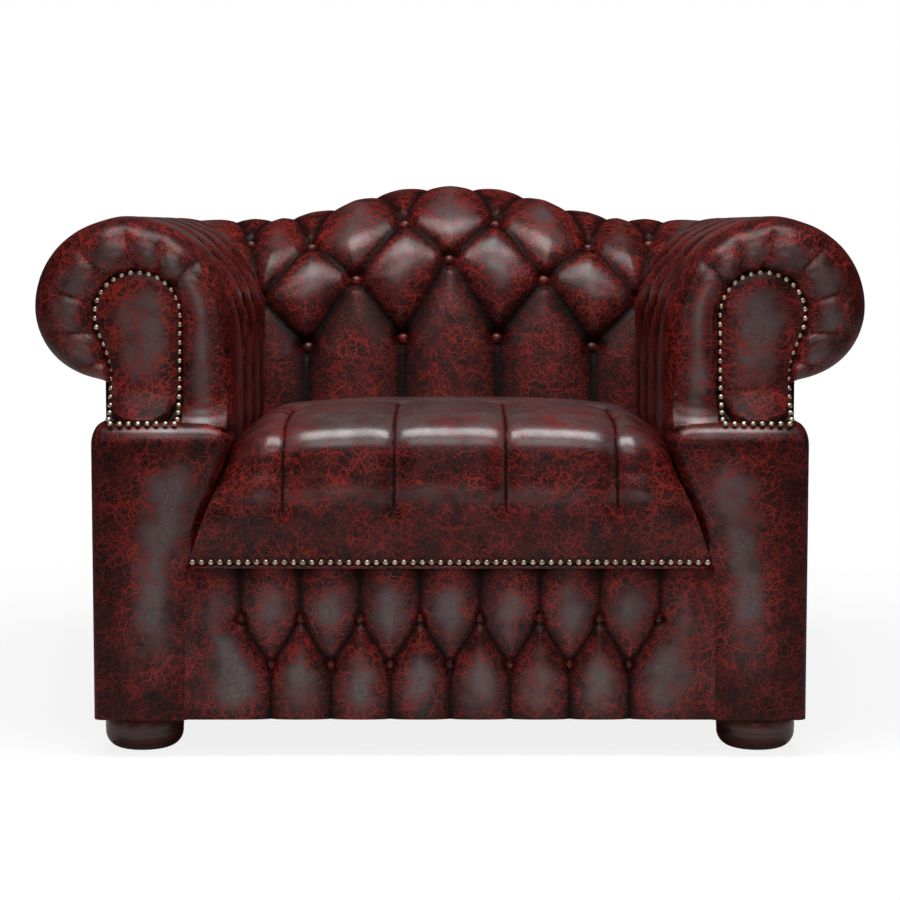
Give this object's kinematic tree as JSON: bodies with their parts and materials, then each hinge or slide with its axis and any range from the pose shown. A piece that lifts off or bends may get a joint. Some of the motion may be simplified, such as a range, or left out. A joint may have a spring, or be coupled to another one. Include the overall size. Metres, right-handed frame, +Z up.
{
  "type": "chesterfield armchair",
  "caption": "Chesterfield club armchair with deep-buttoned back and arms, rolled arms, a fluted sprung seat, buttoned border, nailed facings and turned bun feet in antiqued oxblood leather",
  "frame": {"origin": "on the floor under the middle of the chair, at the bottom centre of its box", "axes": "+X to the right as seen from the front, +Y from the front to the back, +Z up"},
  "size_m": [1.132, 0.89, 0.781],
  "materials": {
    "leather": "antiqued oxblood hide with a fine bright red crackle, polished dark on the crowns",
    "padding": "upholstery foam and wadding",
    "beech": "plain sawn frame timber",
    "mahogany": "turned, stained and polished",
    "hessian": "plain woven cloth",
    "jute": "woven webbing",
    "spring_steel": "plain wire",
    "antique_brass": "dark antiqued domed nail heads, worn bright on top"
  },
  "bodies": {
    "root": {"arm_buttons_left": "leather", "arm_buttons_right": "leather", "arm_hessian_left": "hessian", "arm_hessian_right": "hessian", "arm_pad_left": "padding", "arm_pad_right": "padding", "arm_tack_rail_left": "beech", "arm_tack_rail_right": "beech", "arm_top_rail_left": "beech", "arm_top_rail_right": "beech", "arm_webbing_left": "jute", "arm_webbing_right": "jute", "back_buttons": "leather", "back_hessian": "hessian", "back_pad": "padding", "back_rail": "beech", "back_stile_left": "beech", "back_stile_right": "beech", "back_tack_rail": "beech", "back_top_rail": "beech", "back_webbing": "jute", "border_buttons": "leather", "border_cover": "leather", "border_nails": "antique_brass", "border_pad": "padding", "dust_cover": "hessian", "facing_left": "leather", "facing_nails_left": "antique_brass", "facing_nails_right": "antique_brass", "facing_right": "leather", "foot_blocks": "beech", "foot_bolts": "spring_steel", "foot_front_left": "mahogany", "foot_front_right": "mahogany", "foot_nuts": "spring_steel", "foot_rear_left": "mahogany", "foot_rear_right": "mahogany", "front_board_left": "beech", "front_board_right": "beech", "front_rail": "beech", "inside_arm_left": "leather", "inside_arm_right": "leather", "inside_back": "leather", "outside_arm_left": "leather", "outside_arm_right": "leather", "outside_back": "leather", "post_cover_left": "leather", "post_cover_right": "leather", "post_pad_left": "padding", "post_pad_right": "padding", "rear_post_left": "beech", "rear_post_right": "beech", "seat_cover": "leather", "seat_hessian": "hessian", "seat_pad": "padding", "seat_springs": "spring_steel", "side_rail_left": "beech", "side_rail_right": "beech", "spring_clips": "spring_steel"}
  },
  "joints": []
}
